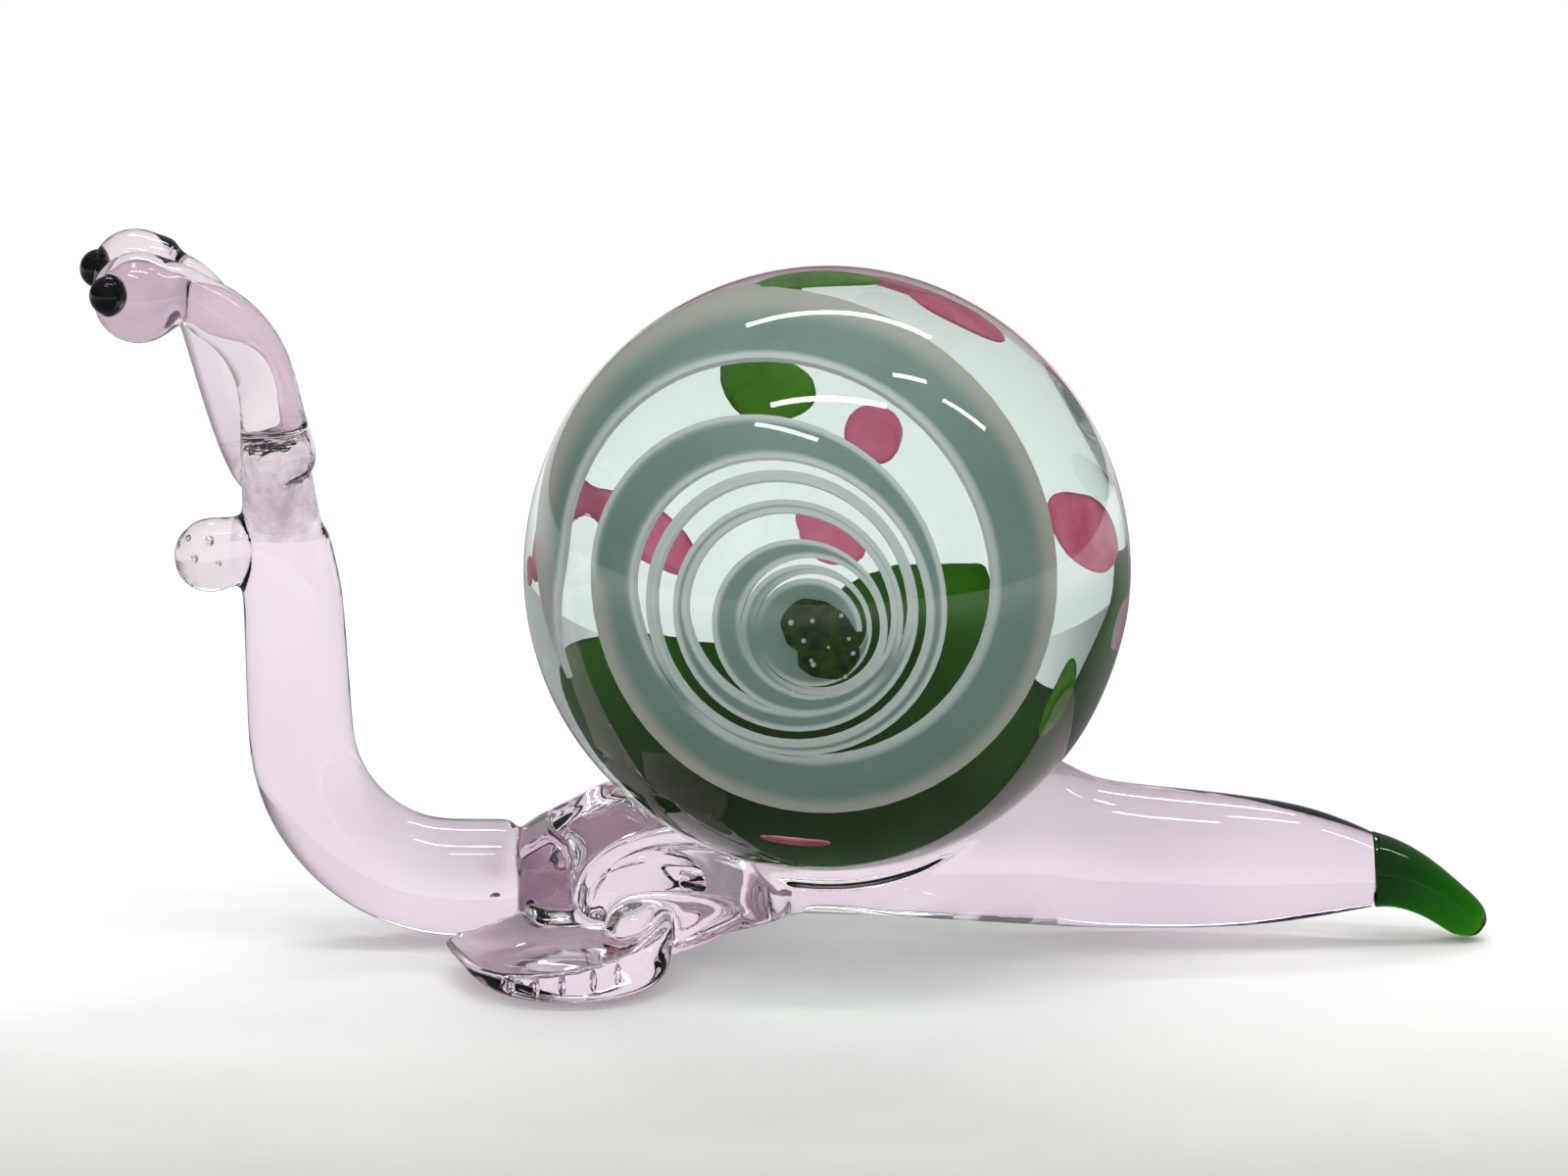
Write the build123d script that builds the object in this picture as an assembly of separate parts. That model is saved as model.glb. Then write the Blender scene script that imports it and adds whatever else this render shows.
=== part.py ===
from build123d import *
from math import cos, radians, sin
import os

# Lampworked glass snail: a solid clear ball for a shell, carried on a pink body of bent and
# tapered glass rod. Millimetres. The head points to -X, the tail to +X, up is +Z and the ground
# is at Z = 0, with the snail's left side to -Y. The pieces are the separate gathers, rods and
# chips of glass, which meet face to face at their welds.

# Shell: a solid ball
shell_diameter = 30.9
shell_clearance = 4.15

# Coloured glass sealed in the shell, just under its surface
inlay_cover = 0.4
cane_thickness = 0.9
chip_thickness = 0.8
back_patch_length = 9.6
back_patch_width = 5.4
green_chip_length = 6.4
pink_chip_length = 4.4

# Belly: the section where chest and tail are welded together under the ball, which sinks into it
belly_offset = 2.1
belly_clearance = 1.55
belly_width = 6.4
saddle_bite = 1.45

# Chest: from the belly forward to the neck
chest_length = 14.4
chest_height = 8.6
chest_width = 6.9

# Tail: from the belly back to its green end
tail_length = 30.2
tail_height = 9.7
tail_width = 7.2
tail_weld_diameter = 3.3
tail_weld_height = 3.5
tip_length = 6.0
tip_diameter = 2.2

# Neck: a rod that leaves the chest level, bends up and leans forward
neck_weld_height = 3.2
neck_weld_diameter = 6.1
neck_diameter = 5.1
neck_top_diameter = 4.5
neck_run = 1.0
neck_bend_radius = 9.5
neck_bend_angle = 84.0
neck_rise = 9.6

# Head collar and muzzle
head_height = 4.5
head_length = 4.4
head_brim = 0.15
head_turn = 8.0
muzzle_diameter = 3.8
muzzle_root_diameter = 3.4
muzzle_reach = 5.5
muzzle_drop = 0.4
muzzle_droop = 7.0

# Eye stalks, each with a bulb and an eye
stalk_diameter = 3.0
stalk_gap = 0.15
stalk_root = 0.4
stalk_bend_radius = 5.2
stalk_bend_angle = 96.0
stalk_rise = 0.3
stalk_splay = 7.0
left_stalk_run = 3.9
left_stalk_lean = -5.0
right_stalk_run = 5.2
right_stalk_lean = -1.0
bulb_diameter = 4.6
eye_diameter = 2.0
eye_sink = 0.35
eye_lift = 15.0

# Front feet: pads pressed flat and crimped along the outer edge
foot_length = 11.6
foot_reach = 11.7
foot_forward = 13.4
foot_root_height = 3.2
foot_lip_height = 1.3
foot_edge_radius = 0.5
crimp_count = 5
crimp_spacing = 13.0
crimp_radius = 0.35

# Spiral, in shares of the shell's radius: where its outer and inner edges cross the level line
# through its middle, from its start at the front rim inwards, how far that line is above the
# ball's middle, and the length and width of the apex chip
cane_outer_shares = (-0.91, 0.712, -0.761, 0.401, -0.563, 0.272, -0.479, 0.194, -0.369, 0.123)
cane_inner_shares = (-0.80, 0.544, -0.602, 0.333, -0.534, 0.233, -0.437, 0.162)
spiral_rise_share = 0.11
apex_chip_shares = (0.272, 0.246)

# Chips: turn round the shell's face from +X, tilt from its left side and spin of the long side
# from the way round, in degrees, then length and width as shares of the chip length
green_chip_shares = (
    (93.0, 83.0, 0.0, 1.00, 0.36),
    (-24.0, 62.0, 0.0, 0.62, 0.30),
    (133.0, 171.5, 45.0, 0.36, 0.17),
)
pink_chip_shares = (
    (14.5, 67.0, 0.0, 1.00, 0.75),
    (60.0, 85.0, 0.0, 1.00, 0.45),
    (180.0, 78.0, 0.0, 0.42, 0.30),
    (-95.0, 57.0, 0.0, 0.60, 0.28),
    (22.7, 174.2, -47.0, 0.32, 0.18),
    (-80.0, 172.5, 39.0, 0.40, 0.16),
    (-143.0, 161.0, 0.0, 0.20, 0.15),
    (-165.0, 158.0, 0.0, 0.18, 0.13),
)
downward_turn = -90.0
back_patch_tilt = 152.0

# Sections of the chest and of the tail at even steps from the belly: underside, top and width,
# as shares of the belly's clearance and of the height and width of each. The ball is cut out of
# both.
chest_shares = (
    (0.81, 0.76, 0.96),
    (0.58, 0.88, 0.99),
    (0.39, 1.00, 1.00),
    (0.23, 0.85, 0.96),
)
tail_shares = (
    (0.97, 0.68, 0.90),
    (0.84, 0.79, 0.92),
    (0.71, 0.91, 0.95),
    (0.58, 1.00, 0.98),
    (0.48, 0.93, 1.00),
    (0.45, 0.86, 1.00),
    (0.45, 0.81, 0.97),
    (0.58, 0.75, 0.88),
    (0.87, 0.67, 0.70),
)
tip_middle_shares = (0.45, 0.62, 0.5)
head_bulge_share = 0.8
foot_root_share = 0.6
rod_steps = 8

# The ball's own poles, at a turn and tilt where nothing is let into it
pole_turn = 40.0
pole_tilt = 110.0

shell_radius = shell_diameter / 2
shell_height = shell_clearance + shell_radius
shell_place = Pos(0, 0, shell_height)
neck_weld_x = -belly_offset - chest_length
tail_weld_x = -belly_offset + tail_length
spiral_rise = spiral_rise_share * shell_radius
apex_chip_length = apex_chip_shares[0] * shell_radius
apex_chip_width = apex_chip_shares[1] * shell_radius
head_width = 2 * stalk_diameter + stalk_gap + 2 * head_brim


def blend(start, end, share):
    """The value this share of the way from start to end."""
    return start + (end - start) * share


def outward(turn, tilt):
    """A plane through the ball's middle that faces out at a turn from +X and a tilt from -Y."""
    out = sin(radians(tilt))
    normal = (out * cos(radians(turn)), -cos(radians(tilt)), out * sin(radians(turn)))
    return Plane(origin=(0, 0, 0), x_dir=(-sin(radians(turn)), 0, cos(radians(turn))), z_dir=normal)


def shell_form(depth):
    """The ball's own shape, the given depth under its surface."""
    return shell_place * (outward(pole_turn, pole_tilt) * Sphere(shell_radius - depth))


def inlay(column, thickness):
    """The part of a column from the ball's middle that lies in the layer under the clear cover."""
    return (shell_place * column & shell_form(inlay_cover)) - shell_form(inlay_cover + thickness)


def half_turns(crossing_shares):
    """Half circles from crossing to crossing, over the top and under the bottom in turn."""
    arcs = []
    for start_share, end_share in zip(crossing_shares, crossing_shares[1:]):
        start = start_share * shell_radius
        end = end_share * shell_radius
        crown = spiral_rise + (end - start) / 2
        arcs.append(ThreePointArc((start, spiral_rise), ((start + end) / 2, crown), (end, spiral_rise)))
    return arcs


def make_spiral_cane(apex_chip):
    """The flat cane wound on the left of the ball, with the apex chip let into its middle."""
    outer = half_turns(cane_outer_shares)
    inner = half_turns(cane_inner_shares)
    start_line = Line(outer[0] @ 0, inner[0] @ 0)
    end_line = Line(outer[-1] @ 1, inner[-1] @ 1)
    band = make_face(outer + inner + [start_line, end_line])
    return inlay(extrude(Plane.XZ * band, shell_radius), cane_thickness) - apex_chip


def make_chip(turn, tilt, spin, length, width, thickness):
    """An oval chip in the inlay layer, at a turn round the ball's face and a tilt from its left."""
    outline = outward(turn, tilt) * Rot(0, 0, spin) * Ellipse(length / 2, width / 2)
    return inlay(extrude(outline, shell_radius), thickness)


def make_chips(chip_shares, chip_length, cane):
    """A group of chips, each cut away where the cane lies."""
    chips = []
    for turn, tilt, spin, length_share, width_share in chip_shares:
        length = length_share * chip_length
        width = width_share * chip_length
        chips += (make_chip(turn, tilt, spin, length, width, chip_thickness) - cane).solids()
    return chips


def oval(place, across, along):
    """A flat oval in a plane, as two half ovals that start at the same side."""
    upper = EllipticalCenterArc((0, 0), across / 2, along / 2, start_angle=0, arc_size=180)
    lower = EllipticalCenterArc((0, 0), across / 2, along / 2, start_angle=180, arc_size=180)
    return place * make_face(upper + lower)


def upright_oval(x, low, high, width):
    """An oval section of the body bar, square to X, from one height to another."""
    place = Plane(origin=(x, 0, (low + high) / 2), x_dir=(0, 1, 0), z_dir=(1, 0, 0))
    return oval(place, width, high - low)


def upright_circle(x, height, diameter):
    """A round section of the body bar, square to X, with its middle at a height."""
    return upright_oval(x, height - diameter / 2, height + diameter / 2, diameter)


def body_bar(section_shares, end_x, bar_height, bar_width, end_circle):
    """A bar lofted through oval sections from the belly to a round end."""
    ovals = [upright_oval(-belly_offset, belly_clearance, shell_clearance + saddle_bite, belly_width)]
    for number, (low_share, top_share, width_share) in enumerate(section_shares, start=1):
        x = blend(-belly_offset, end_x, number / (len(section_shares) + 1))
        low = low_share * belly_clearance
        ovals.append(upright_oval(x, low, top_share * bar_height, width_share * bar_width))
    return loft(ovals + [end_circle])


def make_chest(ball):
    """The gather between neck and tail that the front of the ball is welded into."""
    weld = upright_circle(neck_weld_x, neck_weld_height, neck_weld_diameter)
    return body_bar(chest_shares, neck_weld_x, chest_height, chest_width, weld) - ball


def make_tail(ball):
    """The tapered bar from the belly to the weld of the green end."""
    weld = upright_circle(tail_weld_x, tail_weld_height, tail_weld_diameter)
    return body_bar(tail_shares, tail_weld_x, tail_height, tail_width, weld) - ball


def make_tail_tip():
    """The green end: it bends down from the weld and ends in a round tip on the ground."""
    along_share, height_share, thickness_share = tip_middle_shares
    end_x = tail_weld_x + tip_length - tip_diameter / 2
    end_height = tip_diameter / 2
    downhill = (end_x - tail_weld_x, 0, end_height - tail_weld_height)
    middle = (blend(tail_weld_x, end_x, along_share), 0, blend(end_height, tail_weld_height, height_share))
    middle_diameter = blend(tip_diameter, tail_weld_diameter, thickness_share)
    middle_place = Plane(origin=middle, x_dir=(0, 1, 0), z_dir=downhill)
    end_place = Plane(origin=(end_x, 0, end_height), x_dir=(0, 1, 0), z_dir=downhill)
    ovals = [
        upright_circle(tail_weld_x, tail_weld_height, tail_weld_diameter),
        oval(middle_place, middle_diameter, middle_diameter),
        oval(end_place, tip_diameter, tip_diameter),
    ]
    return loft(ovals) + end_place * Sphere(tip_diameter / 2)


def bent_rod(run, bend_radius, bend_angle, rise, root_diameter, bend_diameter, end_diameter):
    """A tapered rod along +Z that bends towards +X and runs on, and the place of its end."""
    bend = radians(bend_angle) * bend_radius
    ovals = []
    for step in range(rod_steps + 1):
        distance = (run + bend + rise) * step / rod_steps
        past = max(distance - run - bend, 0)
        turn = (min(max(distance, run), run + bend) - run) / bend_radius
        x = bend_radius * (1 - cos(turn)) + past * sin(turn)
        z = min(distance, run) + bend_radius * sin(turn) + past * cos(turn)
        place = Plane(origin=(x, 0, z), x_dir=(cos(turn), 0, -sin(turn)), z_dir=(sin(turn), 0, cos(turn)))
        diameter = blend(root_diameter, bend_diameter, min(distance / (run + bend), 1))
        diameter = blend(diameter, end_diameter, past / rise)
        ovals.append(oval(place, diameter, diameter))
    return loft(ovals), place.location


def make_neck():
    """The neck, and the place of its top, where the head is welded on."""
    root = Plane(origin=(neck_weld_x, 0, neck_weld_height), x_dir=(0, 0, 1), z_dir=(-1, 0, 0)).location
    rod, end_place = bent_rod(neck_run, neck_bend_radius, neck_bend_angle, neck_rise,
                              neck_weld_diameter, neck_diameter, neck_top_diameter)
    return root * rod, root * end_place * Rot(0, 0, head_turn)


def make_head(head_place):
    """The collar on the neck, which widens to carry two eye stalks side by side."""
    bulge_width = blend(neck_top_diameter, head_width, head_bulge_share)
    ovals = [
        oval(Plane.XY, neck_top_diameter, neck_top_diameter),
        oval(Plane.XY.offset(head_height * head_bulge_share), head_length, bulge_width),
        oval(Plane.XY.offset(head_height), head_length, head_width),
    ]
    return head_place * loft(ovals)


def make_muzzle(head_place, neck, head):
    """The round nub on the front of the neck, just under the head."""
    place = head_place * Pos(0, 0, -muzzle_drop) * Rot(0, -90 - muzzle_droop, 0)
    nub_centre = muzzle_reach - muzzle_diameter / 2
    root = extrude(Circle(muzzle_root_diameter / 2), nub_centre)
    nub = Pos(0, 0, nub_centre) * Sphere(muzzle_diameter / 2)
    return place * (root + nub) - neck - head


def make_stalk(head_place, head, side, run, lean):
    """One eye stalk with its bulb, welded to the top of the head, and its eye."""
    base = Pos(0, side * (stalk_diameter + stalk_gap) / 2, head_height - stalk_root)
    root = head_place * base * Rot(0, 0, 180 - side * stalk_splay) * Rot(0, lean, 0)
    rod, end_place = bent_rod(run + stalk_root, stalk_bend_radius, stalk_bend_angle,
                              stalk_rise, stalk_diameter, stalk_diameter, stalk_diameter)
    stalk = root * (rod + end_place * Sphere(bulb_diameter / 2)) - head
    eye_place = root * end_place * Rot(0, -eye_lift, 0) * Pos(0, 0, bulb_diameter / 2 - eye_sink)
    return stalk, eye_place * Sphere(eye_diameter / 2) - stalk


def make_foot(side, ball, chest, neck):
    """One front foot: a sloping pad with a flat underside and a crimped outer edge."""
    inner = foot_root_share * chest_width / 2
    profile = Polyline((inner, 0), (foot_reach, 0), (foot_reach, foot_lip_height),
                       (inner, foot_root_height), close=True)
    wedge = extrude(Plane.YZ * make_face(profile), foot_length / 2, both=True)
    outline = extrude(Ellipse(foot_length / 2, foot_reach), foot_root_height)
    pad = wedge & outline
    top_edges = pad.faces().sort_by(Axis.Z)[-1].edges()
    pad = fillet(top_edges, foot_edge_radius)
    for number in range(crimp_count):
        angle = radians((number - (crimp_count - 1) / 2) * crimp_spacing)
        place = Pos(foot_length / 2 * sin(angle), foot_reach * cos(angle), 0)
        pad -= place * Cylinder(crimp_radius, 2 * foot_root_height)
    pad = Pos(-foot_forward, 0, 0) * pad
    if side < 0:
        pad = pad.mirror(Plane.XZ)
    return pad - chest - neck - ball


ball = shell_form(0)
apex_chip = make_chip(downward_turn, 0, 0, apex_chip_length, apex_chip_width, cane_thickness)
spiral_cane = make_spiral_cane(apex_chip)
back_patch = make_chip(downward_turn, back_patch_tilt, 0, back_patch_length, back_patch_width, chip_thickness)
green_chips = make_chips(green_chip_shares, green_chip_length, spiral_cane)
pink_chips = make_chips(pink_chip_shares, pink_chip_length, spiral_cane)

chest = make_chest(ball)
tail = make_tail(ball)
neck, head_place = make_neck()
head = make_head(head_place)
left_stalk, left_eye = make_stalk(head_place, head, -1, left_stalk_run, left_stalk_lean)
right_stalk, right_eye = make_stalk(head_place, head, 1, right_stalk_run, right_stalk_lean)

nodes = {
    "shell_ball": ball - [apex_chip, spiral_cane, back_patch, *green_chips, *pink_chips],
    "spiral_cane": spiral_cane,
    "apex_chip": apex_chip,
    "green_back_patch": back_patch,
    "green_chips": Compound(green_chips),
    "pink_chips": Compound(pink_chips),
    "chest": chest,
    "tail": tail,
    "tail_tip": make_tail_tip(),
    "neck": neck,
    "head": head,
    "muzzle": make_muzzle(head_place, neck, head),
    "left_stalk": left_stalk,
    "right_stalk": right_stalk,
    "left_eye": left_eye,
    "right_eye": right_eye,
    "left_foot": make_foot(-1, ball, chest, neck),
    "right_foot": make_foot(1, ball, chest, neck),
}

# The origin goes on the ground, under the middle of the whole figure
boxes = [piece.bounding_box() for piece in nodes.values()]
middle_x = (min(box.min.X for box in boxes) + max(box.max.X for box in boxes)) / 2
middle_y = (min(box.min.Y for box in boxes) + max(box.max.Y for box in boxes)) / 2
lowest = min(box.min.Z for box in boxes)

os.makedirs("parts", exist_ok=True)
for name, piece in nodes.items():
    export_step(Pos(-middle_x, -middle_y, -lowest) * piece, f"parts/{name}.step")
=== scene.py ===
import math
import random

import bpy
from mathutils import Matrix, Quaternion, Vector
from mathutils.bvhtree import BVHTree


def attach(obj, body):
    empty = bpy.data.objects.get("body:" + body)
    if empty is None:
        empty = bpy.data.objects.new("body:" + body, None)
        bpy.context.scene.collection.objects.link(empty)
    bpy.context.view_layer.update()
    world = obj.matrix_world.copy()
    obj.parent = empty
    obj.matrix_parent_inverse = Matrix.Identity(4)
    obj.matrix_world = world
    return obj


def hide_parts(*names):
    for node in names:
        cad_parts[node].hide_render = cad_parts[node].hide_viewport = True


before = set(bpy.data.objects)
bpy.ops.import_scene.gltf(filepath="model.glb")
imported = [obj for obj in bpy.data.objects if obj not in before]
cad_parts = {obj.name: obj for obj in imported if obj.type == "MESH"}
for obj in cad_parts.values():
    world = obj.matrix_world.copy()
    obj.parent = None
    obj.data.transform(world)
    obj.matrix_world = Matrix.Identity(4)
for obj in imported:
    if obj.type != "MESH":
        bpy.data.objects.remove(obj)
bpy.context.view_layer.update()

# Lampworked glass snail. Sizes are in millimetres unless a name says otherwise, in the frame of the
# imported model: head to -X, tail to +X, up +Z, ground at Z = 0, the side seen in the picture to -Y.

MM = 0.001
BODY = "root"

# With no window the rotate operator turns the other way
TURN = -1

# Rings of a drawn rod, and how far a ring of that many points pulls in when it is smoothed
RING_POINTS = 24
RING_SWELL = 6 / (4 + 2 * math.cos(2 * math.pi / RING_POINTS))

# Points closer than this are merged
MERGE_WITHIN = 0.001

# Hair's gap between two pieces of glass at a weld, so that their faces don't lie in each other
WELD_GAP = 0.02

# Shell ball: middle, radius, how deep the coloured glass lies in it, and depth and size of its waves
BALL_MIDDLE = (2.2, 0.0, 19.6)
BALL_RADIUS = 15.45
INLAY_DEPTH = 0.75
BALL_WAVES = (0.10, 11.0)
# Dents that the tools left at the ball's right side: place, move and reach
BALL_DENTS = (
    ((14.4, -4.5, 28.0), (-0.16, 0.06, -0.10), 4.6),
    ((16.6, -4.5, 15.0), (-0.14, 0.05, 0.05), 4.6),
)


def at(x, y, z):
    """A place in millimetres as a vector in metres."""
    return Vector((x, y, z)) * MM


def drop_selection():
    """Leaves edit mode and selects nothing."""
    if bpy.context.mode != "OBJECT":
        bpy.ops.object.mode_set(mode="OBJECT")
    bpy.ops.object.select_all(action="DESELECT")


def pick(piece):
    """Makes a piece the only one that is selected."""
    drop_selection()
    piece.select_set(True)
    bpy.context.view_layer.objects.active = piece


def open_up(piece):
    """Takes a piece into edit mode with all of it selected."""
    pick(piece)
    bpy.ops.object.mode_set(mode="EDIT")
    bpy.ops.mesh.select_all(action="SELECT")


def settle(name):
    """Names the new piece and puts its place into its mesh."""
    piece = bpy.context.object
    piece.name = piece.data.name = name
    bpy.ops.object.transform_apply(location=True, rotation=True, scale=True)
    return piece


def gather(name, fineness, radius, place):
    """A round gather of glass, from a ball of triangles."""
    drop_selection()
    bpy.ops.mesh.primitive_ico_sphere_add(subdivisions=fineness, radius=radius * MM, location=place)
    return settle(name)


def first_ring(name, points, radius, place, lean=0.0):
    """A disc of glass, opened up for drawing a piece from it."""
    drop_selection()
    bpy.ops.mesh.primitive_circle_add(vertices=points, radius=radius * MM, fill_type="NGON", location=place,
                                      rotation=(0, lean, 0))
    piece = settle(name)
    open_up(piece)
    return piece


def copy_of(piece, name):
    """A copy of a piece, with a mesh of its own."""
    pick(piece)
    bpy.ops.object.duplicate()
    copy = bpy.context.object
    copy.name = copy.data.name = name
    return copy


def swivel(piece, degrees, place):
    """Turns a piece about the upright line through a place."""
    open_up(piece)
    bpy.ops.transform.rotate(value=TURN * math.radians(degrees), orient_axis="Z", center_override=at(*place))
    bpy.ops.object.mode_set(mode="OBJECT")
    return piece


def apply_modifier(piece, kind, **settings):
    """Adds a modifier with its settings to a piece and applies it."""
    pick(piece)
    bpy.ops.object.modifier_add(type=kind)
    modifier = piece.modifiers[-1]
    for key, value in settings.items():
        setattr(modifier, key, value)
    bpy.ops.object.modifier_apply(modifier=modifier.name)


def fire_polish(piece, levels=2):
    """Merges doubles, turns the faces outwards and smooths the piece as the flame does."""
    open_up(piece)
    bpy.ops.mesh.remove_doubles(threshold=MERGE_WITHIN * MM)
    bpy.ops.mesh.normals_make_consistent(inside=False)
    apply_modifier(piece, "SUBSURF", levels=levels, render_levels=levels)
    bpy.ops.object.shade_smooth()
    return piece


def ripple(piece, depth, size):
    """Moves the surface in and out a little, as hand-worked glass is never true."""
    texture = bpy.data.textures.new(piece.name + "_ripple", "CLOUDS")
    texture.noise_scale = size * MM
    texture.noise_depth = 1
    apply_modifier(piece, "DISPLACE", texture=texture, texture_coords="LOCAL", strength=depth * MM,
                   mid_level=0.5)


def with_lips(stations, share):
    """The stations with one more close to each end, at a share of the step there, which keeps the ends
    crisp when smoothed."""
    def between(first, second):
        return tuple(a + (b - a) * share for a, b in zip(first, second))
    first = between(stations[0], stations[1])
    last = between(stations[-1], stations[-2])
    return [stations[0], first, *stations[1:-1], last, stations[-1]]


def pull_rod(name, stations, side=0.0):
    """Draws a round rod in an upright plane through its stations: x, z, heading in degrees up from
    straight ahead, and diameter."""
    x, z, heading, size = stations[0]
    piece = first_ring(name, RING_POINTS, size / 2 * RING_SWELL, at(x, side, z), math.radians(heading - 90))
    for next_x, next_z, next_heading, next_size in stations[1:]:
        middle, step = at(next_x, side, next_z), at(next_x - x, 0, next_z - z)
        bpy.ops.mesh.extrude_region_move(TRANSFORM_OT_translate={"value": step})
        bpy.ops.transform.rotate(value=TURN * math.radians(next_heading - heading), orient_axis="Y",
                                 center_override=middle)
        bpy.ops.transform.resize(value=(next_size / size,) * 3, center_override=middle)
        x, z, heading, size = next_x, next_z, next_heading, next_size
    drop_selection()
    return piece


def pull_bar(name, sections):
    """Draws an oval bar along X through its sections: place along, place sideways, underside, top and
    width."""
    def middle_of(section):
        along, sideways, low, top, _ = section
        return at(along, sideways, (low + top) / 2)

    def spread_of(section):
        _, _, low, top, width = section
        return 1.0, width, top - low

    forward = 1 if sections[1][0] > sections[0][0] else -1
    start = middle_of(sections[0])
    piece = first_ring(name, RING_POINTS, RING_SWELL / 2, start, forward * math.pi / 2)
    bpy.ops.transform.resize(value=spread_of(sections[0]), center_override=start)
    for last, section in zip(sections, sections[1:]):
        step = middle_of(section) - middle_of(last)
        growth = tuple(b / a for a, b in zip(spread_of(last), spread_of(section)))
        bpy.ops.mesh.extrude_region_move(TRANSFORM_OT_translate={"value": step})
        bpy.ops.transform.resize(value=growth, center_override=middle_of(section))
    drop_selection()
    return piece


def push(piece, place, move, reach):
    """Pushes the surface nearest to a place, with its surroundings, as with a tool on hot glass."""
    pick(piece)
    spot = at(*place)
    bpy.ops.object.mode_set(mode="EDIT")
    bpy.ops.mesh.select_all(action="DESELECT")
    bpy.ops.object.mode_set(mode="OBJECT")
    nearest = min(piece.data.vertices, key=lambda vertex: (vertex.co - spot).length_squared)
    nearest.select = True
    bpy.ops.object.mode_set(mode="EDIT")
    bpy.ops.mesh.select_mode(type="VERT")
    bpy.ops.transform.translate(value=at(*move), use_proportional_edit=True,
                                proportional_edit_falloff="SMOOTH", proportional_size=reach * MM)
    bpy.ops.object.mode_set(mode="OBJECT")


def two_glasses(piece, first, second, number):
    """Gives a piece two glasses, 0 and 1, and all its faces the one with a number."""
    piece.data.materials.clear()
    piece.data.materials.append(first)
    piece.data.materials.append(second)
    for face in piece.data.polygons:
        face.material_index = number


def cut_with(piece, cutter, operation):
    """Cuts a piece with a cutter: DIFFERENCE takes the cutter's shape out, INTERSECT leaves what is in
    it. The faces of the cut take the cutter's glass."""
    apply_modifier(piece, "BOOLEAN", object=cutter, operation=operation, solver="MANIFOLD")


def split_off(body, name, low, high):
    """Cuts the glass between two corners off a body as a piece of its own, with the cut marked as fused."""
    low, high = at(*low), at(*high)
    drop_selection()
    bpy.ops.mesh.primitive_cube_add(size=1, location=(low + high) / 2, scale=high - low)
    cutter = settle("weld_cutter")
    two_glasses(cutter, pink_glass, weld_glass, 1)
    piece = copy_of(body, name)
    cut_with(piece, cutter, "INTERSECT")
    cut_with(body, cutter, "DIFFERENCE")
    bpy.data.objects.remove(cutter)
    return piece


# How many times as high as wide a bubble is
SEED_STRETCH = 1.15


def blow_seeds(piece, seeds):
    """Traps small air bubbles in the glass: x, y, z and diameter of each."""
    pick(piece)
    bpy.ops.object.mode_set(mode="EDIT")
    for *place, diameter in seeds:
        bpy.ops.mesh.select_all(action="DESELECT")
        bpy.ops.mesh.primitive_ico_sphere_add(subdivisions=3, radius=diameter / 2 * MM, location=at(*place))
        bpy.ops.transform.resize(value=(1.0, 1.0, SEED_STRETCH), center_override=at(*place))
        bpy.ops.mesh.flip_normals()
        bpy.ops.mesh.faces_shade_smooth()
    bpy.ops.object.mode_set(mode="OBJECT")


# Materials


def linear(hex_colour):
    """An sRGB hex colour as linear RGBA."""
    channels = [int(hex_colour[i:i + 2], 16) / 255 for i in (1, 3, 5)]
    return [c / 12.92 if c <= 0.04045 else ((c + 0.055) / 1.055) ** 2.4 for c in channels] + [1.0]


def add_node(tree, kind, settings=None, links=None):
    """Adds a node with its settings and its links."""
    made = tree.nodes.new(kind)
    for key, value in (settings or {}).items():
        if isinstance(key, int) or key in made.inputs:
            made.inputs[key].default_value = value
        else:
            setattr(made, key, value)
    for key, source in (links or {}).items():
        tree.links.new(source, made.inputs[key])
    return made


def new_material(name):
    """An empty material: its node tree, output and object coordinates."""
    material = bpy.data.materials.new(name)
    material.use_nodes = True
    tree = material.node_tree
    tree.nodes.clear()
    output = add_node(tree, "ShaderNodeOutputMaterial")
    place = add_node(tree, "ShaderNodeTexCoord").outputs["Object"]
    return material, tree, output, place


SODA_GLASS_IOR = 1.51
# A tint through the body of a glass is written this close to white, and its density carries the depth
TINT_SHARE = 0.15
# Streaks are this many times as wide as the waves of the skin
STREAK_WIDTH = 4
# Which part of the noise runs from one shade to the other: soft streaks, softer ones, or all of it
STREAKS, SOFT_STREAKS, CLOUDS = (0.35, 0.65), (0.3, 0.7), (0.0, 1.0)


def mottled(tree, place, size, detail, spread, *shades):
    """A colour that drifts from one shade to another in patches of a size, as where melted glass ran."""
    cloud = add_node(tree, "ShaderNodeTexNoise", {"Scale": 1 / (size * MM), "Detail": detail},
                     {"Vector": place})
    drift = add_node(tree, "ShaderNodeValToRGB", links={"Fac": cloud.outputs["Fac"]})
    for element, position, shade in zip(drift.color_ramp.elements, spread, shades):
        element.position = position
        element.color = linear(shade)
    return drift.outputs["Color"]


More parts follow.
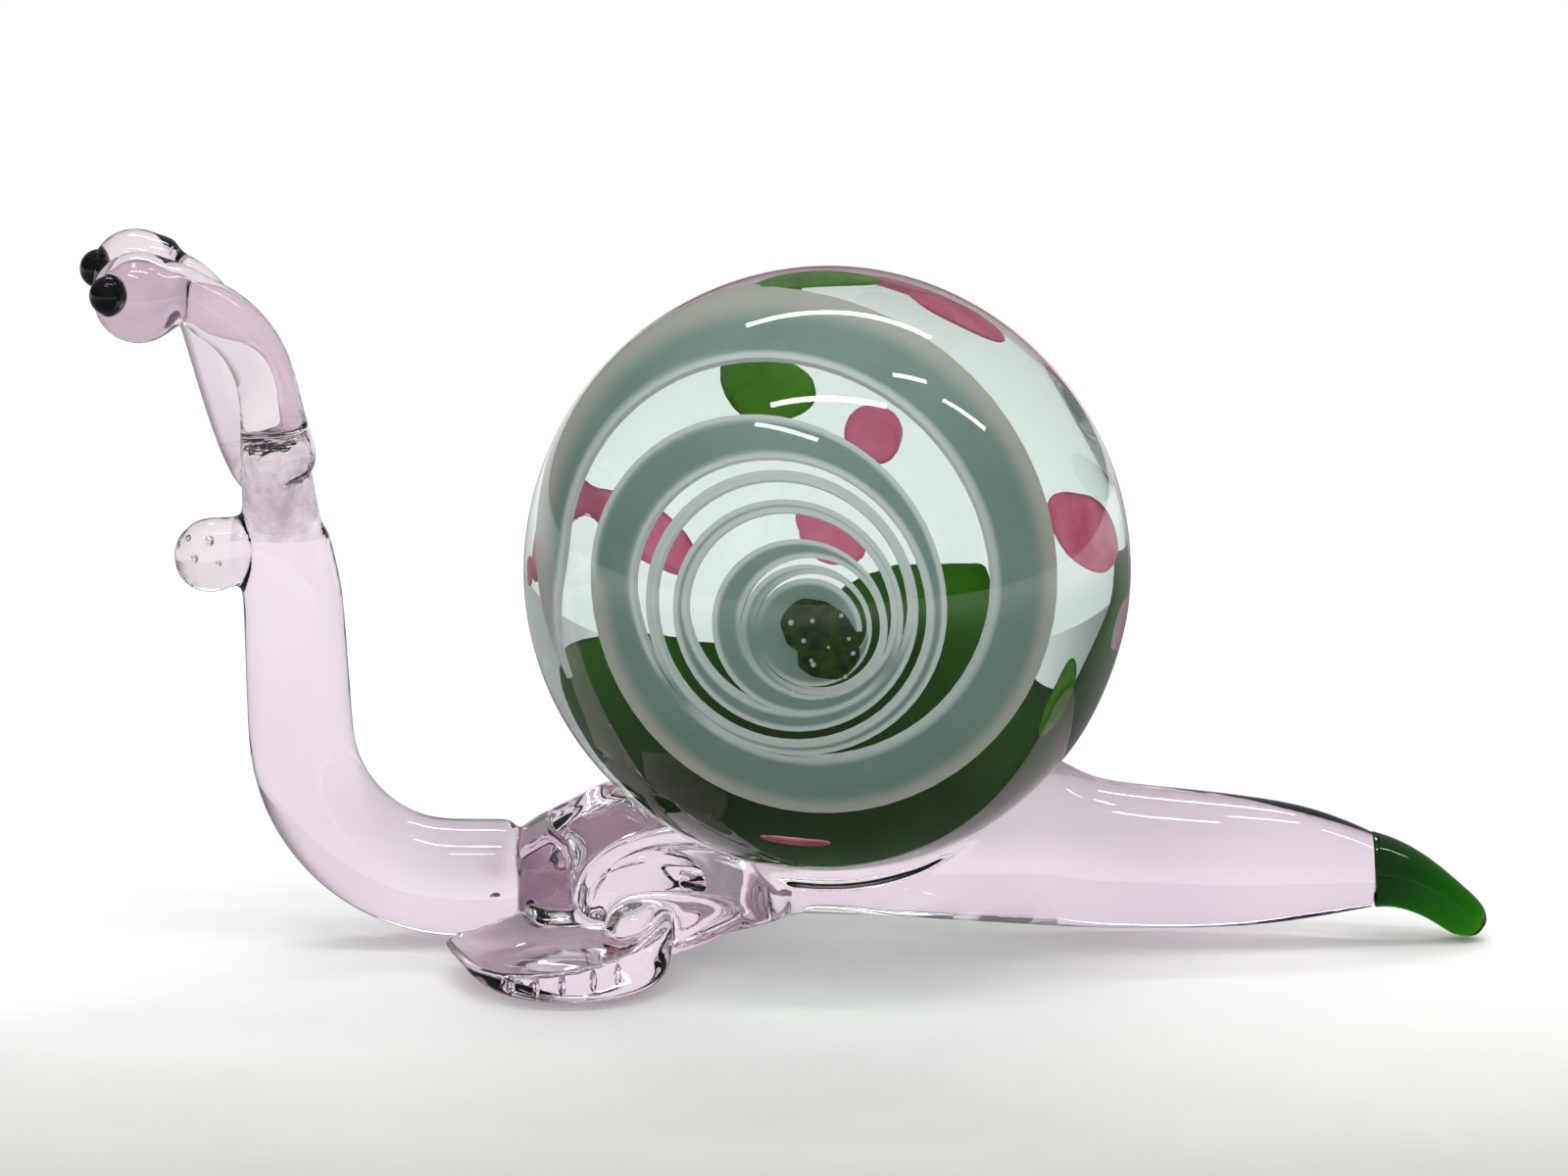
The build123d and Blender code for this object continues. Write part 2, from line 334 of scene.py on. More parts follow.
def worked_glass(name, thin_tint, thick_tint, wave_size, wave_depth, through=None):
    """Transparent glass with the soft waves and streaks of the flame. The tint goes on its skin, or,
    where a thickness is given, through its body, so that a thick place is deeper than a thin one."""
    material, tree, output, place = new_material(name)
    waves = add_node(tree, "ShaderNodeTexNoise", {"Scale": 1 / (wave_size * MM), "Detail": 1.0},
                     {"Vector": place})
    bump = add_node(tree, "ShaderNodeBump", {"Strength": 1.0, "Distance": wave_depth * MM},
                    {"Height": waves.outputs["Fac"]})
    glass = add_node(tree, "ShaderNodeBsdfPrincipled",
                     {"Base Color": (1, 1, 1, 1), "Roughness": 0.0, "IOR": SODA_GLASS_IOR,
                      "Transmission Weight": 1.0}, {"Normal": bump.outputs["Normal"]})
    if through:
        losses = [-math.log(c) / (through * MM) for c in linear(thick_tint)[:3]]
        density = max(losses) / TINT_SHARE
        body = add_node(tree, "ShaderNodeVolumeAbsorption",
                        {"Color": [1 - loss / density for loss in losses] + [1.0], "Density": density})
        tree.links.new(body.outputs["Volume"], output.inputs["Volume"])
    else:
        tint = mottled(tree, place, STREAK_WIDTH * wave_size, 2.0, STREAKS, thin_tint, thick_tint)
        tree.links.new(tint, glass.inputs["Base Color"])
    tree.links.new(glass.outputs["BSDF"], output.inputs["Surface"])
    return material


# Soft soda glass rod in a pale pink: clear, with faint draw waves and streaks a shade deeper
pink_glass = worked_glass("pink_soda_glass", "#EEDFEA", "#E3D2DF", 3.0, 0.008)
# The same rod pressed flat and thin in the feet, so it looks paler
thin_glass = worked_glass("thin_pink_soda_glass", "#F1DFEA", "#EAD6E2", 2.2, 0.012)
# The same rod pulled out in the stalks, and worked to and fro in the collar, where it is greyer and
# lumpy
pale_glass = worked_glass("pale_pink_soda_glass", "#EADDE5", "#E1D3DC", 2.0, 0.012)
collar_glass = worked_glass("worked_pink_soda_glass", "#E2D4DD", "#B9A7B4", 0.25, 0.03)
# Nearly clear rod on the muzzle
nub_glass = worked_glass("clear_pink_soda_glass", "#EDE4E9", "#E2D8DE", 1.2, 0.02)
# Clear soda glass gathered to a ball, with a breath of sea green
clear_glass = worked_glass("clear_soda_glass", "#DAE7E3", "#D0DFD9", 9.0, 0.010)
# Transparent bottle green rod: bright where thin, near black where thick
green_glass = worked_glass("green_soda_glass", "#FFFFFF", "#2F7C04", 1.1, 0.010, 1.6)
# Where two rods are melted into one there is no surface left, so the light goes straight on
weld_glass, weld_tree, weld_output, _ = new_material("fused_weld")
weld_light = add_node(weld_tree, "ShaderNodeBsdfTransparent", {"Color": (1, 1, 1, 1)})
weld_tree.links.new(weld_light.outputs["BSDF"], weld_output.inputs["Surface"])


def opal_cane():
    """Opal white cane flattened to a ribbon: chalk white at its edges, where the light falls on them, beige
    along the rim of the ball and a painted grey-green shade between them, where its face lies in shadow, with
    faint streaks."""
    material, tree, output, place = new_material("opal_white_cane")
    lit_edge = add_node(tree, "ShaderNodeAttribute", {"attribute_name": "lit_edge"})
    beige = add_node(tree, "ShaderNodeAttribute", {"attribute_name": "beige"})
    # Painted shade: the grey-green stands for the white glass's face lying in shadow
    face = mottled(tree, place, 2.5, 3.0, SOFT_STREAKS, "#93ABA2", "#A0B6AD")
    rim = add_node(tree, "ShaderNodeMix", {"data_type": "RGBA", 7: linear("#DFD8D0")},
                   {0: beige.outputs["Fac"], 6: face})
    edge = add_node(tree, "ShaderNodeMix", {"data_type": "RGBA", 7: linear("#FFFFFF")},
                    {0: lit_edge.outputs["Fac"], 6: rim.outputs[2]})
    cane = add_node(tree, "ShaderNodeBsdfPrincipled", {"Roughness": 0.35, "IOR": 1.45},
                    {"Base Color": edge.outputs[2]})
    tree.links.new(cane.outputs["BSDF"], output.inputs["Surface"])
    return material


# The patch at the back has a painted shade, darkest low on the ball: it darkens between these heights
SHADE_FROM, SHADE_TO = 15.6, 12.0


def melted_frit(name, thin_colour, thick_colour, grain, clearness, painted_shade_colour=None):
    """Crushed coloured glass melted flat: the light that comes through makes the thin places bright."""
    material, tree, output, place = new_material(name)
    colour = mottled(tree, place, grain, 2.0, STREAKS, thick_colour, thin_colour)
    # Painted shade: darker towards the bottom of the ball
    if painted_shade_colour:
        height = add_node(tree, "ShaderNodeSeparateXYZ", links={"Vector": place}).outputs["Z"]
        low = add_node(tree, "ShaderNodeMapRange", {"From Min": SHADE_FROM * MM, "From Max": SHADE_TO * MM},
                       {"Value": height})
        colour = add_node(tree, "ShaderNodeMix", {"data_type": "RGBA", 7: linear(painted_shade_colour)},
                          {0: low.outputs["Result"], 6: colour}).outputs[2]
    frit = add_node(tree, "ShaderNodeBsdfPrincipled",
                    {"Roughness": 0.5, "IOR": 1.1, "Transmission Weight": clearness}, {"Base Color": colour})
    tree.links.new(frit.outputs["BSDF"], output.inputs["Surface"])
    return material


opal_white = opal_cane()
green_frit = melted_frit("green_glass_frit", "#7CC424", "#4A8C10", 1.8, 0.6)
# A copy of the green frit darkened with painted shade, for the patch at the back, whose face inside the ball
# lies in shadow
shaded_green_frit = melted_frit("shaded_green_glass_frit", "#3E7E0E", "#1E4E06", 2.4, 0.6, "#122404")
dark_green_frit = melted_frit("dark_green_glass_chip", "#3C5E0E", "#1C3606", 0.5, 0.1)
rose_frit = melted_frit("rose_glass_frit", "#FF98B8", "#F2749C", 1.4, 0.6)


def dense_glass(name, size, detail, finish, *shades):
    """Glass that no light comes through, with a faint cloud in its colour."""
    material, tree, output, place = new_material(name)
    skin = add_node(tree, "ShaderNodeBsdfPrincipled", finish,
                    {"Base Color": mottled(tree, place, size, detail, CLOUDS, *shades)})
    tree.links.new(skin.outputs["BSDF"], output.inputs["Surface"])
    return material


# Air bubbles as fine as dust, which look white from any side
air_white = dense_glass("trapped_air", 0.2, 1.0, {"Roughness": 0.4}, "#E4ECE4", "#FFFFFF")
# Opaque black soda glass with a fire-polished skin: deep black, with one sharp light on it
BEAD_FINISH = {"Roughness": 0.04, "IOR": SODA_GLASS_IOR, "Specular IOR Level": 0.25}
black_glass = dense_glass("black_soda_glass", 0.5, 2.0, BEAD_FINISH, "#060606", "#15131A")


def give(piece, material, slot, *nodes):
    """Dresses a finished piece: its glass, its body and the CAD nodes it stands for. The slot is not used."""
    if len(piece.data.materials):
        piece.data.materials[0] = material
    else:
        piece.data.materials.append(material)
    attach(piece, BODY)
    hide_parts(*nodes)


# Shell: a ball of clear glass, gathered by hand, so it is a little out of true
ball = gather("clear_ball", 7, BALL_RADIUS, at(*BALL_MIDDLE))
ripple(ball, *BALL_WAVES)
for dent in BALL_DENTS:
    push(ball, *dent)
bpy.ops.object.shade_smooth()
# A plain ball under the surface, which the coloured glass is pressed onto and which is then removed
inlay_layer = gather("inlay_layer", 6, BALL_RADIUS - INLAY_DEPTH, at(*BALL_MIDDLE))

# Spiral ribbon: where its outer and inner edges cross the level line through its middle, as shares of
# the ball's radius, from its start at the front rim inwards. Half circles join the crossings.
RIBBON_OUTER = (-0.91, 0.705, -0.735, 0.36, -0.563, 0.272, -0.479, 0.226, -0.359, 0.178, -0.27, 0.13,
                -0.226, 0.10)
RIBBON_INNER = (-0.815, 0.505, -0.602, 0.305, -0.534, 0.245, -0.437, 0.194, -0.27, 0.159, -0.226, 0.117,
                -0.06, -0.05)
# How far the spiral's middle lies above the ball's at each crossing, and how far the inner edge bulges
# inwards along each half turn
RIBBON_RISES = (2.1, 1.7, 1.8, 1.0, 1.2, 1.1, 1.0, 0.8, 0.5, 0.4, 0.35, 0.4, 0.3, 0.3)
RIBBON_FILLS = (0.0, 0.6, 0.3, 0.0, 0.0, 0.5, 0.0, 0.15, 0.0, 0.0, 0.0, 0.0, 0.0)
RIBBON_THICKNESS = 0.55
# Where the ribbon starts, in half turns, and the share of its width that it has there
RIBBON_START = -0.16
RIBBON_POINT = 0.08
STEPS_PER_HALF_TURN = 28
LANES = 14
# How far in from its edge the lit white and the beige end. Where two turns touch there is no white.
LIT_EDGE = (0.17, 0.36)
LIT_EDGE_GAP = 0.3
BEIGE_EDGE = (0.25, 1.1)
BEIGE_HALF_TURNS = 2.0
# Corners sharper than this many degrees stay sharp
RIBBON_CREASE = 40.0


def rung_ends(position):
    """The outer and inner end of the ribbon's rung at a number of half turns from the front rim."""
    number = min(max(int(position), 0), len(RIBBON_INNER) - 2)
    share = position - number
    swing = math.pi * share
    side = 1 if number % 2 == 0 else -1
    rise = RIBBON_RISES[number] + (RIBBON_RISES[number + 1] - RIBBON_RISES[number]) * max(share, 0)
    ends = []
    for crossings in (RIBBON_OUTER, RIBBON_INNER):
        start, end = crossings[number] * BALL_RADIUS, crossings[number + 1] * BALL_RADIUS
        centre, reach = (start + end) / 2, abs(end - start) / 2
        fill = RIBBON_FILLS[number] * max(math.sin(swing), 0) if crossings is RIBBON_INNER else 0.0
        height = (reach - fill) * math.sin(swing)
        ends.append(at(centre - side * (reach - fill) * math.cos(swing), 0, rise + side * height))
    outer, inner = [end + at(*BALL_MIDDLE) for end in ends]
    taper = max(1 - position / RIBBON_START, RIBBON_POINT) if position < 0 else 1.0
    return outer, outer + (inner - outer) * taper


def fall(distance, near, far):
    """1 up to the near distance, 0 from the far one."""
    share = min(max((far - distance) / (far - near), 0), 1)
    return share * share * (3 - 2 * share)


def wind_ribbon():
    """Draws the flat spiral rung by rung, then presses it onto the layer under the ball's surface."""
    last = len(RIBBON_INNER) - 1
    count = int((last - RIBBON_START) * STEPS_PER_HALF_TURN)
    positions = [RIBBON_START + (last - RIBBON_START) * step / count for step in range(count + 1)]
    rungs = [rung_ends(position) for position in positions]
    outer, inner = rungs[0]
    drop_selection()
    bpy.ops.mesh.primitive_plane_add(size=(outer - inner).length, location=(outer + inner) / 2)
    ribbon = settle("spiral_ribbon")
    bpy.ops.object.mode_set(mode="EDIT")
    bpy.ops.mesh.select_all(action="DESELECT")
    bpy.ops.object.mode_set(mode="OBJECT")
    for vertex in ribbon.data.vertices:
        vertex.select = vertex.co.y > outer.y
    bpy.ops.object.mode_set(mode="EDIT")
    bpy.ops.mesh.select_mode(type="VERT")
    bpy.ops.mesh.delete(type="VERT")
    bpy.ops.mesh.select_all(action="SELECT")
    bpy.ops.mesh.subdivide(number_cuts=LANES - 1)
    bpy.ops.mesh.select_all(action="SELECT")
    middle, span = (outer + inner) / 2, outer - inner
    bpy.ops.transform.translate(value=(0, span.length / 2, 0))
    angle = math.atan2(span.z, span.x)
    bpy.ops.transform.rotate(value=angle, orient_axis="Y", center_override=middle)
    for outer, inner in rungs[1:]:
        next_middle, next_span = (outer + inner) / 2, outer - inner
        next_angle = math.atan2(next_span.z, next_span.x)
        change = (next_angle - angle + math.pi) % (2 * math.pi) - math.pi
        bpy.ops.mesh.extrude_region_move(TRANSFORM_OT_translate={"value": next_middle - middle})
        bpy.ops.transform.rotate(value=change, orient_axis="Y", center_override=next_middle)
        bpy.ops.transform.resize(value=(next_span.length / span.length,) * 3, center_override=next_middle)
        middle, span, angle = next_middle, next_span, next_angle
    drop_selection()
    # Where the edges are lit white, against the painted shade of the ribbon's face
    lit_edge = ribbon.data.attributes.new("lit_edge", "FLOAT", "POINT")
    beige = ribbon.data.attributes.new("beige", "FLOAT", "POINT")
    for vertex in ribbon.data.vertices:
        row = vertex.index // (LANES + 1)
        position, (outer, inner) = positions[row], rungs[row]
        at_rim = position < BEIGE_HALF_TURNS
        outside = (rung_ends(position - 2)[1] - outer).length if position > BEIGE_HALF_TURNS else 0.0
        inside = (rung_ends(position + 2)[0] - inner).length if position < last - 2 else 0.0
        lit_edges = [fall((vertex.co - edge).length / MM, *LIT_EDGE) * (1 - fall(gap / MM, 0.0, LIT_EDGE_GAP))
                  for edge, gap in ((outer, outside), (inner, inside))]
        lit_edge.data[vertex.index].value = max(lit_edges)
        beige.data[vertex.index].value = fall((vertex.co - outer).length / MM, *BEIGE_EDGE) if at_rim else 0.0
    apply_modifier(ribbon, "SHRINKWRAP", target=inlay_layer, wrap_method="PROJECT", use_project_y=True,
                   use_negative_direction=True, use_positive_direction=False)
    apply_modifier(ribbon, "SOLIDIFY", thickness=RIBBON_THICKNESS * MM, offset=0.0)
    bpy.ops.object.shade_smooth_by_angle(angle=math.radians(RIBBON_CREASE))
    return ribbon


ribbon = wind_ribbon()

# Coloured chips melted into the ball: the way out of the ball's middle at which each lies, its length
# across and height, and the spin of its long side in degrees
APEX_CHIP = ((-0.45, -14.7, -0.1), 2.0, 2.0, 0.0)
BACK_PATCH = ((0.0, 13.0, -6.9), 2.0, 2.0, 0.0)
GREEN_CHIPS = (
    ((-0.7, -0.9, 14.66), 7.0, 2.6, 0.0),
    ((11.1, -8.4, -4.6), 1.8, 4.2, -35.0),
    ((-0.93, 14.66, -0.17), 1.75, 0.66, 4.0),
)
PINK_CHIPS = (
    ((12.5, -6.7, 3.4), 7.4, 4.4, 0.0),
    ((6.5, -2.0, 12.95), 6.0, 3.4, 0.0),
    ((-14.4, -2.9, 0.6), 1.3, 1.6, 0.0),
    ((-1.6, -9.1, -11.4), 3.6, 0.5, 0.0),
    ((1.0, 14.65, -0.76), 1.05, 0.7, -15.0),
    ((0.2, 14.45, -2.6), 1.65, 1.0, -25.0),
    ((-3.0, 14.1, -2.65), 1.7, 0.8, -52.0),
)
# Outlines that are not plain ovals: turn in degrees from straight ahead and distance from the middle
APEX_OUTLINE = ((0, 1.95), (30, 1.8), (60, 1.84), (90, 2.05), (120, 2.33), (150, 2.26), (180, 1.75),
                (207, 1.27), (240, 1.82), (270, 2.02), (300, 2.32), (330, 2.25))
BACK_OUTLINE = ((0, 4.9), (30, 4.5), (42, 4.9), (52, 5.5), (63, 4.85), (75, 4.3), (95, 3.1), (120, 2.85),
                (132, 3.4), (143, 5.0), (160, 5.8), (180, 6.0), (210, 4.6), (240, 3.4), (270, 2.9),
                (300, 3.4), (330, 4.6))
APEX_DEPTH, APEX_THICKNESS = 0.55, 0.7
# Fine air bubbles over the apex chip: place across and up from its middle, and diameter
APEX_AIR = ((-1.35, 0.85, 0.3), (-0.35, 0.95, 0.24), (-0.75, 0.0, 0.26), (-0.3, -1.15, 0.3),
            (-0.4, -0.95, 0.22), (1.55, -0.6, 0.26), (1.35, 0.1, 0.2), (1.0, 1.2, 0.22),
            (1.2, -1.75, 0.24), (0.4, -0.3, 0.18))
AIR_DEPTH = 0.2
CHIP_THICKNESS = 0.5
CHIP_EDGE_POINTS = 48
CHIP_LOBES = 7
CHIP_RAGGEDNESS = 0.16
GREEN_SEED, PINK_SEED = 10, 30


def ragged_outline(seed):
    """An oval's outline with a few seeded lobes."""
    chance = random.Random(seed)
    return [(360 * lobe / CHIP_LOBES, 1 + chance.uniform(-CHIP_RAGGEDNESS, CHIP_RAGGEDNESS))
            for lobe in range(CHIP_LOBES)]


def outline_reach(outline, turn):
    """The distance from the middle at a turn, with an easy run from each point to the next."""
    closed = [*outline, (outline[0][0] + 360, outline[0][1])]
    for (start, near), (end, far) in zip(closed, closed[1:]):
        if start <= turn < end:
            share = (1 - math.cos(math.pi * (turn - start) / (end - start))) / 2
            return near + (far - near) * share


def melt_chip(name, way, length, height, spin, outline, layer=inlay_layer, thickness=CHIP_THICKNESS):
    """A chip of glass melted flat: its outline pressed onto a layer under the ball's surface."""
    way_out = Vector(way).normalized()
    across = (Vector((1, 0, 0)) - way_out * way_out.x).normalized()
    upright = way_out.cross(across)
    if upright.z < 0:
        upright.negate()
    drop_selection()
    bpy.ops.mesh.primitive_circle_add(vertices=CHIP_EDGE_POINTS, radius=1, fill_type="TRIFAN")
    chip = bpy.context.object
    for vertex in chip.data.vertices:
        turn = math.degrees(math.atan2(vertex.co.y, vertex.co.x)) % 360
        vertex.co *= outline_reach(outline, turn)
    open_up(chip)
    bpy.ops.mesh.subdivide(number_cuts=3)
    pick(chip)
    across.rotate(Quaternion(across.cross(upright), math.radians(spin)))
    facing = way_out if way_out.dot(across.cross(upright)) > 0 else -way_out
    upright.rotate(Quaternion(facing, math.radians(spin)))
    basis = Matrix((across * length / 2 * MM, upright * height / 2 * MM, way_out * MM)).transposed()
    chip.matrix_world = Matrix.Translation(at(*BALL_MIDDLE) + way_out * BALL_RADIUS * MM) @ basis.to_4x4()
    chip = settle(name)
    apply_modifier(chip, "SHRINKWRAP", target=layer, wrap_method="NEAREST_SURFACEPOINT")
    apply_modifier(chip, "SOLIDIFY", thickness=thickness * MM, offset=0.0)
    return fire_polish(chip, 1)


def join(name, pieces):
    """Makes several pieces one."""
    pick(pieces[0])
    for piece in pieces:
        piece.select_set(True)
    bpy.ops.object.join()
    pieces[0].name = pieces[0].data.name = name
    return pieces[0]


def melt_group(name, chips, seed):
    """A group of chips as one piece, each with its own ragged edge."""
    return join(name, [melt_chip(f"{name}_{number}", *chip, ragged_outline(seed + number))
                       for number, chip in enumerate(chips)])


def sprinkle(chip, middle, bubbles):
    """Sets fine air bubbles over a chip, as a second glass of the same piece."""
    two_glasses(chip, dark_green_frit, air_white, 0)
    drops = []
    for across, up, diameter in bubbles:
        way = Vector((middle[0] + across, middle[1], middle[2] + up)).normalized()
        drop = gather("bubble", 2, diameter / 2, at(*BALL_MIDDLE) + way * (BALL_RADIUS - AIR_DEPTH) * MM)
        bpy.ops.object.shade_smooth()
        two_glasses(drop, dark_green_frit, air_white, 1)
        drops.append(drop)
    return join(chip.name, [chip, *drops])


apex_layer = gather("apex_layer", 6, BALL_RADIUS - APEX_DEPTH, at(*BALL_MIDDLE))
apex = melt_chip("apex_green_chip", *APEX_CHIP, APEX_OUTLINE, apex_layer, APEX_THICKNESS)
apex = sprinkle(apex, APEX_CHIP[0], APEX_AIR)
back_patch = melt_chip("back_green_patch", *BACK_PATCH, BACK_OUTLINE)
green_chips = melt_group("green_frit_chips", GREEN_CHIPS, GREEN_SEED)
pink_chips = melt_group("rose_frit_chips", PINK_CHIPS, PINK_SEED)
bpy.data.objects.remove(apex_layer)
bpy.data.objects.remove(inlay_layer)

# Body: chest and tail are oval bars: place along, place sideways, underside, top and width. Every pink
# rod runs on into its neighbours, and all are fused later.
CHEST = (
    (2.5, 0, 1.55, 5.6, 6.4), (-2.78, 0, 1.26, 6.54, 6.62), (-5.66, 0, 0.90, 7.57, 6.83),
    (-8.54, 0, 0.60, 8.60, 6.9), (-10.2, 0, 0.45, 7.55, 6.7), (-11.8, 0, 0.36, 6.75, 6.5),
    (-12.6, 0, 0.32, 6.40, 6.2), (-13.1, 0, 0.55, 6.05, 5.5), (-14.4, 0, 1.30, 5.20, 3.9),
)
CHEST_SQUARENESS = 3.2
TAIL = (
    (-2.5, 0, 1.55, 5.6, 6.4), (3.12, 0, 1.50, 6.60, 6.48), (6.14, 0, 1.30, 7.66, 6.62),
    (9.16, 0, 1.10, 8.83, 6.84), (12.18, 0, 0.90, 9.70, 7.06), (13.9, 0, 0.80, 9.70, 7.1),
    (14.9, 0, 0.75, 9.05, 7.2), (16.0, 0, 0.72, 8.50, 7.2), (18.22, 0, 0.70, 8.14, 7.2),
    (21.24, 0, 0.70, 7.86, 6.98), (24.26, 0, 0.80, 7.50, 6.34), (27.28, 0, 1.20, 7.00, 5.2),
    (30.29, 0, 1.75, 5.75, 3.9), (31.6, 0, 2.00, 4.95, 3.2),
)


def square_up(piece, sections, power):
    """Makes the ovals of a bar boxier, as it is where it was pressed with a paddle."""
    for vertex in piece.data.vertices:
        _, sideways, low, top, width = sections[min(vertex.index // RING_POINTS, len(sections) - 1)]
        middle = at(vertex.co.x / MM, sideways, (low + top) / 2)
        across = (vertex.co.y - middle.y) / (width / 2 * MM)
        up = (vertex.co.z - middle.z) / ((top - low) / 2 * MM)
        oval = math.hypot(across, up)
        box = (abs(across) ** power + abs(up) ** power) ** (1 / power)
        vertex.co = middle + (vertex.co - middle) * (oval / box)


chest = pull_bar("chest", CHEST)
square_up(chest, CHEST, CHEST_SQUARENESS)
fire_polish(chest)
tail = fire_polish(pull_bar("tail", TAIL))

# Beads of glass along the foot of the ball, where it is welded to chest and tail: how far to the side
# and off the ball they lie, their diameters, and the arc that they follow
BEAD_SIDE = 3.35
BEAD_LIFT = 0.1
BEAD_SIZES = (0.5, 1.1, 1.5, 1.6, 1.5, 1.1, 0.5)
BEAD_ARC = (-28.0, 31.0)


def lay_bead(name, side):
    """A bead that follows the ball's underside at one side of the body."""
    reach = math.sqrt(BALL_RADIUS ** 2 - side ** 2) + BEAD_LIFT
    stations = []
    for number, size in enumerate(BEAD_SIZES):
        swing = BEAD_ARC[0] + (BEAD_ARC[1] - BEAD_ARC[0]) * number / (len(BEAD_SIZES) - 1)
        x = BALL_MIDDLE[0] + reach * math.sin(math.radians(swing))
        z = BALL_MIDDLE[2] - reach * math.cos(math.radians(swing))
        stations.append((x, z, 180.0 - swing, size))
    return fire_polish(pull_rod(name, stations, side))


beads = [lay_bead("left_bead", -BEAD_SIDE), lay_bead("right_bead", BEAD_SIDE)]

# Tail tip: green rod that bends down to the ground
TIP = (
    (30.31, 3.75, 176.0, 4.0), (31.4, 3.55, 188.0, 3.55), (32.5, 3.08, 202.0, 3.05),
    (33.6, 2.42, 211.0, 2.6), (34.6, 1.66, 216.0, 2.35), (35.2, 1.18, 217.0, 2.25),
    (35.75, 0.80, 217.0, 1.75), (36.05, 0.58, 217.0, 0.9),
)
TIP_LIP = 0.1
tail_tip = fire_polish(pull_rod("green_tail_tip", with_lips(TIP, TIP_LIP)))

# Neck: level out of the chest, bent up, then straight up with a little lean
NECK_START = (-13.75, 3.25)
NECK_RUN = 3.05
NECK_BEND = (8.0, 88.0)
NECK_RISE = 7.2
NECK_SIZES = (6.1, 5.4, 5.1)
NECK_TOP = ((-25.22, 19.3, 85.0, 5.0), (-25.38, 20.4, 81.0, 4.85), (-25.56, 21.3, 79.0, 4.7))
NECK_LIP = 0.12
BEND_STEPS = 9
RISE_STEPS = 4


def bent(start, run, bend, rise, sizes, heading, sense):
    """Stations of a rod that runs straight, bends and runs on: sense 1 bends up, -1 bends forward."""
    radius, angle = bend
    x, z = start
    stations = [(x, z, heading, sizes[0])]

    def go(distance, size):
        nonlocal x, z
        x -= distance * math.cos(math.radians(heading))
        z += distance * math.sin(math.radians(heading))
        stations.append((x, z, heading, size))

    go(run, sizes[0])
    chord = 2 * radius * math.sin(math.radians(angle / BEND_STEPS / 2))
    for step in range(1, BEND_STEPS + 1):
        heading += sense * angle / BEND_STEPS / 2
        go(chord, sizes[0] + (sizes[1] - sizes[0]) * step / BEND_STEPS)
        heading += sense * angle / BEND_STEPS / 2
        stations[-1] = (x, z, heading, stations[-1][3])
    for step in range(1, RISE_STEPS + 1):
        go(rise / RISE_STEPS, sizes[1] + (sizes[2] - sizes[1]) * step / RISE_STEPS)
    return stations


neck_stations = [*bent(NECK_START, NECK_RUN, NECK_BEND, NECK_RISE, NECK_SIZES, 0.0, 1), *NECK_TOP]
neck = fire_polish(pull_rod("neck", with_lips(neck_stations, NECK_LIP)))

# Head: a lumpy collar of glass on the neck, wide from side to side, with a waist under each stalk.
# Height over the neck's end, length and width of each ring.
HEAD_LEAN = 84.0
HEAD = ((-1.6, 4.4, 4.4), (0.2, 4.5, 4.5), (0.9, 3.75, 4.7), (2.2, 3.75, 5.4), (3.4, 3.5, 6.0),
        (4.2, 3.1, 5.7), (4.8, 2.3, 4.4), (5.1, 1.3, 2.8))
# The collar is set back a little from this height on
HEAD_SHIFT_FROM, HEAD_SHIFT = 0.5, 0.15
HEAD_LUMPS = (0.55, 1.3)


def make_head():
    """The collar, drawn on from the neck's end, then pressed wide."""
    lean = math.radians(HEAD_LEAN)
    neck_x, neck_z, _, _ = neck_stations[-1]
    stations = []
    for height, length, _ in HEAD:
        x, z = neck_x - height * math.cos(lean), neck_z + height * math.sin(lean)
        stations.append((x + (HEAD_SHIFT if height > HEAD_SHIFT_FROM else 0.0), z, HEAD_LEAN, length))
    head = pull_rod("head", stations)
    for vertex in head.data.vertices:
        _, length, width = HEAD[min(vertex.index // RING_POINTS, len(HEAD) - 1)]
        vertex.co.y *= width / length
    fire_polish(head)
    ripple(head, *HEAD_LUMPS)
    return head


head = make_head()

# Eye stalks: up out of the head, over forwards, and out into a bulb
STALK_SIZES = (3.1, 2.9, 2.9)
# The left stalk widens to its root: way along it and diameter
STALK_FLARE = ((0.0, 3.0), (0.7, 3.7), (1.5, 3.95), (2.5, 3.6), (3.5, 3.25))
BULB_RADIUS = 2.35
# Way along the stalk from the bulb's middle, and diameter. The bulb takes up the stalk's last stations.
BULB_STEPS = ((-2.3, 3.0), (-1.75, 3.35), (-1.2, 3.95), (-0.6, 4.5), (0.0, 4.7), (0.7, 4.5), (1.3, 3.95),
              (1.75, 3.2), (2.1, 2.2), (2.3, 1.1))
BULB_STATIONS = 3
# Side, root, run, heading, bend and splay
STALKS = (
    ("left", (-25.35, -1.56, 24.5), 4.7, 82.5, (5.9, 88.0), 15.0),
    ("right", (-26.5, 1.6, 22.4), 10.05, 75.0, (3.4, 82.0), 1.0),
)
EYE_SIZE = 2.0
EYE_SINK = 0.45
EYE_LIFT = 15.0
EYE_YAW = {"left": 28.0, "right": 0.0}


